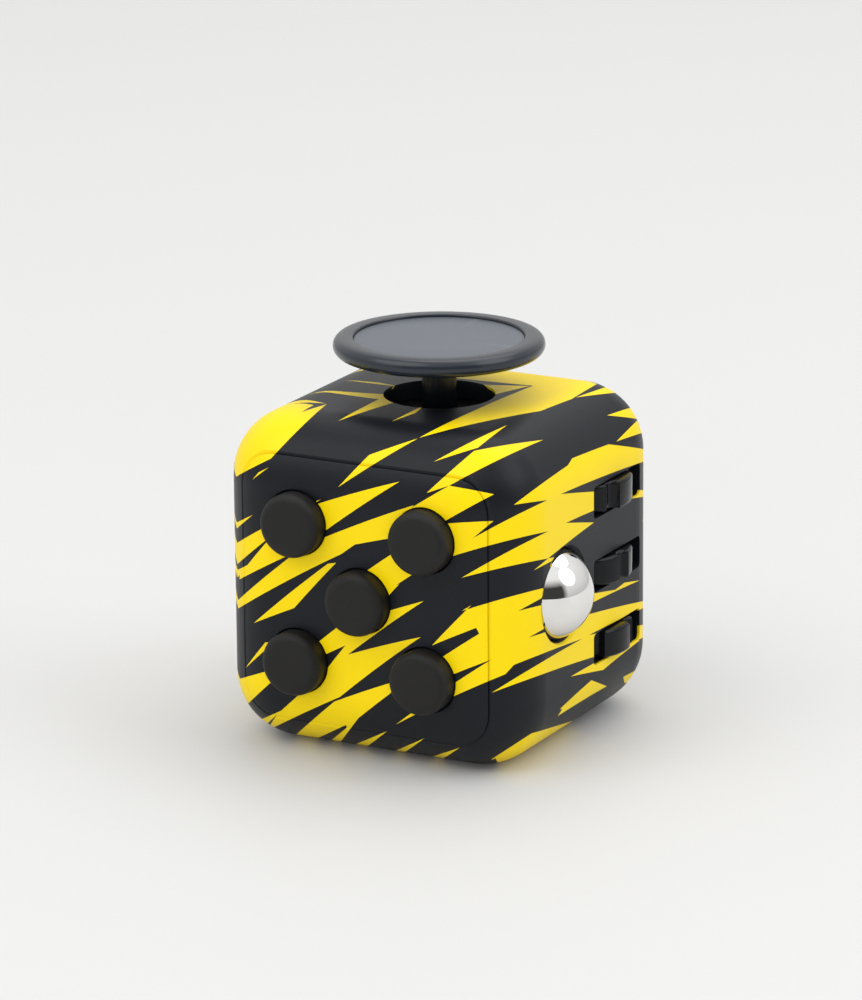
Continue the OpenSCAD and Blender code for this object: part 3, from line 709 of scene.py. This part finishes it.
# ---------------------------------------------------------------- rocker and dial
def build_rocker():
    """A slab with a hollow front on a round pin boss, tipped to its resting place."""
    low, high = box_mm("flip_rocker")
    pin = Vector(joints["rocker_flip"]["pos_m"]) / MM
    tilt = math.radians(joints["rocker_flip"]["range_deg"][1] / 2)
    tip = (ROCKER_R * math.cos(ROCKER_TIP), ROCKER_R * math.sin(ROCKER_TIP))
    end = math.degrees(math.asin((tip[1] + ROCKER_SKIRT) / ROCKER_R))
    outline = [(-0.4, -0.9), (-2.0, -0.72)] + arc(-2.6, 0, 0.7, 270, 90, 12) + [(-2.0, 0.72), (-0.4, 0.9)]
    outline += [(-0.4, 6.6)] + arc(0, 0, ROCKER_R - 0.02, end, math.degrees(ROCKER_TIP), 10)
    # the hollow front that a thumb tips
    outline += [(ROCKER_DIP + (tip[0] - ROCKER_DIP) * abs(f) ** 1.25, tip[1] * f) for f in
                (0.8, 0.6, 0.4, 0.25, 0.12, 0, -0.12, -0.25, -0.4, -0.6, -0.8)]
    outline += arc(0, 0, ROCKER_R - 0.02, -math.degrees(ROCKER_TIP), -end, 10) + [(-0.4, -6.6)]
    placed = []
    for out, up in outline:
        # outwards is towards -X; at rest the lower wing stands out
        a = out * math.cos(tilt) - up * math.sin(tilt)
        b = out * math.sin(tilt) + up * math.cos(tilt)
        placed.append((pin.x - a, pin.z + b))
    rocker = prism("rocker_cap", placed, "Y", low.y, high.y)
    boolean(rocker, prism("pin_bore", circle_outline(pin.x, pin.z, BORE_R, 48), "Y", low.y - 1, high.y + 1))
    soften(rocker, 0.32, 5)
    stand_for(rocker, "flip_rocker")


def build_dial():
    """A turned cap with a recessed face, a thumb dimple and notches round its edge."""
    low, high = box_mm("spin_dial")
    base = HALF - DIAL_POCKET + DIAL_LIFT
    tall = high.y - base
    profile = [(0, low.y - base), (1.6, low.y - base), (1.6, 0), (dial_r, 0), (dial_r, tall - 0.7)]
    profile += arc(dial_r - 0.7, tall - 0.7, 0.7, 0, 90, 10)
    profile += [(dial_r - 1.1, tall), (dial_r - 1.35, tall - 0.18), (dial_r - 1.6, tall - 0.22)]
    dial = lathe("dial_cap", profile, (0, base, HALF), "Y", 144)
    bm = bmesh.new()
    bmesh.ops.create_uvsphere(bm, u_segments=48, v_segments=32, radius=3.4)
    bmesh.ops.translate(bm, verts=bm.verts, vec=(0, high.y + 2.4, HALF + dial_r * 0.52))
    boolean(dial, new_object("dimple", bm))
    for i in range(DIAL_NOTCHES):
        a = 2 * math.pi * i / DIAL_NOTCHES
        x, z = (dial_r + 0.2) * math.cos(a), (dial_r + 0.2) * math.sin(a)
        boolean(dial, prism("notch", circle_outline(x, HALF + z, 0.5, 24), "Y", high.y - 1.6, high.y + 1))
    soften(dial, 0.1, 2, 40)
    stand_for(dial, "spin_dial")


build_shell()
build_cover()
for button in BUTTONS:
    build_button(button)
build_knob()
build_ball()
for wheel_node, wheel_turn in WHEELS.items():
    build_wheel(wheel_node, wheel_turn)
build_rocker()
build_dial()
for obj in nodes.values():
    obj.data.polygons.foreach_set("use_smooth", [True] * len(obj.data.polygons))
    obj.data.set_sharp_from_angle(angle=math.radians(35))


# ---------------------------------------------------------------- floor, light and camera
DARK_SIDE = (0.50, -0.85, 0.15)


def build_floor():
    """A wide sheet of pale paper, which fills the picture behind the cube."""
    bm = bmesh.new()
    bmesh.ops.create_grid(bm, x_segments=8, y_segments=8, size=1600)
    floor = new_object("floor", bm)
    mat, tree, shader = material("floor_paper", (0.615, 0.615, 0.61), 0.6)
    bump(tree, shader, noise(tree, object_coords(tree), 0.8, 4), 0.01, 0.2)
    shader.inputs["Specular IOR Level"].default_value = 0.25
    floor.data.materials.append(mat)


def area_light(name, place, target, size, power, colour=(1, 1, 1), mirrored=True):
    data = bpy.data.lights.new(name, "AREA")
    data.shape = "ELLIPSE"
    data.size, data.size_y = size
    data.energy = power
    data.color = colour
    light = bpy.data.objects.new(name, data)
    light.location = place
    light.visible_glossy = mirrored
    light.rotation_euler = (Vector(target) - Vector(place)).to_track_quat("-Z", "Y").to_euler()
    bpy.context.scene.collection.objects.link(light)


def build_world():
    """A pale studio: soft grey near the ground, brighter overhead."""
    world = bpy.data.worlds.new("studio")
    world.use_nodes = True
    tree = world.node_tree
    split = tree.nodes.new("ShaderNodeSeparateXYZ")
    sky = tree.nodes.new("ShaderNodeTexCoord").outputs["Generated"]
    tree.links.new(sky, split.inputs[0])
    ramp = tree.nodes.new("ShaderNodeValToRGB")
    tree.links.new(split.outputs["Z"], ramp.inputs["Fac"])
    stops = ((0.0, 0.62), (0.28, 0.82), (0.5, 0.90), (0.8, 1.0))
    while len(ramp.color_ramp.elements) < len(stops):
        ramp.color_ramp.elements.new(0.5)
    for element, (place, grey) in zip(ramp.color_ramp.elements, stops):
        element.position = place
        element.color = (grey, grey, grey, 1)
    # the dark side of the studio, which the polished ball mirrors
    facing = dot(tree, sky, DARK_SIDE)
    low = ranged(tree, split.outputs["Z"], 1.0, 0.0, 0.42, 0.70)
    dark = math_node(tree, "MULTIPLY", ranged(tree, facing, 0.0, 1.0, 0.62, 0.78), low)
    shade = mix_colour(tree, dark, ramp.outputs["Color"], (0.05, 0.05, 0.05))
    background = tree.nodes["Background"]
    tree.links.new(shade, background.inputs["Color"])
    background.inputs["Strength"].default_value = 1.0
    bpy.context.scene.world = world


def build_camera():
    """A long lens at the height and angle of the product shot."""
    azimuth, elevation = math.radians(27.82), math.radians(16.61)
    pan, tilt, roll = math.radians(0.096), math.radians(0.588), math.radians(0.455)
    distance = 543.5 * MM
    aim = Vector((0, 0, HALF)) * MM
    back = Vector((math.sin(azimuth) * math.cos(elevation), -math.cos(azimuth) * math.cos(elevation),
                   math.sin(elevation)))
    look = -back
    right = look.cross(Vector((0, 0, 1))).normalized()
    up = right.cross(look)
    turn = Matrix((right, up, back)).transposed()
    turn = Matrix.Rotation(pan, 3, up) @ turn
    turn = Matrix.Rotation(tilt, 3, turn.col[0]) @ turn
    turn = Matrix.Rotation(roll, 3, -turn.col[2]) @ turn
    data = bpy.data.cameras.new("camera")
    data.lens = 200.1
    data.sensor_width = 36
    camera = bpy.data.objects.new("camera", data)
    camera.matrix_world = Matrix.Translation(aim + back * distance) @ turn.to_4x4()
    bpy.context.scene.collection.objects.link(camera)
    bpy.context.scene.camera = camera


build_floor()
build_world()
area_light("key", (-0.30, -0.55, 0.75), (0, 0, 0.015), (0.9, 0.8), 2.6, (1.0, 0.99, 0.97))
area_light("fill", (0.30, -0.80, 0.22), (0, 0, 0.015), (0.9, 0.4), 2.6, mirrored=False)
area_light("top", (0.05, 0.30, 0.70), (0, 0, 0.02), (0.8, 0.6), 1.6)
area_light("side", (0.65, 0.10, 0.55), (0, 0, 0.02), (0.6, 0.6), 1.6, (0.97, 0.98, 1.0))
build_camera()
bpy.context.scene.view_settings.view_transform = "Standard"
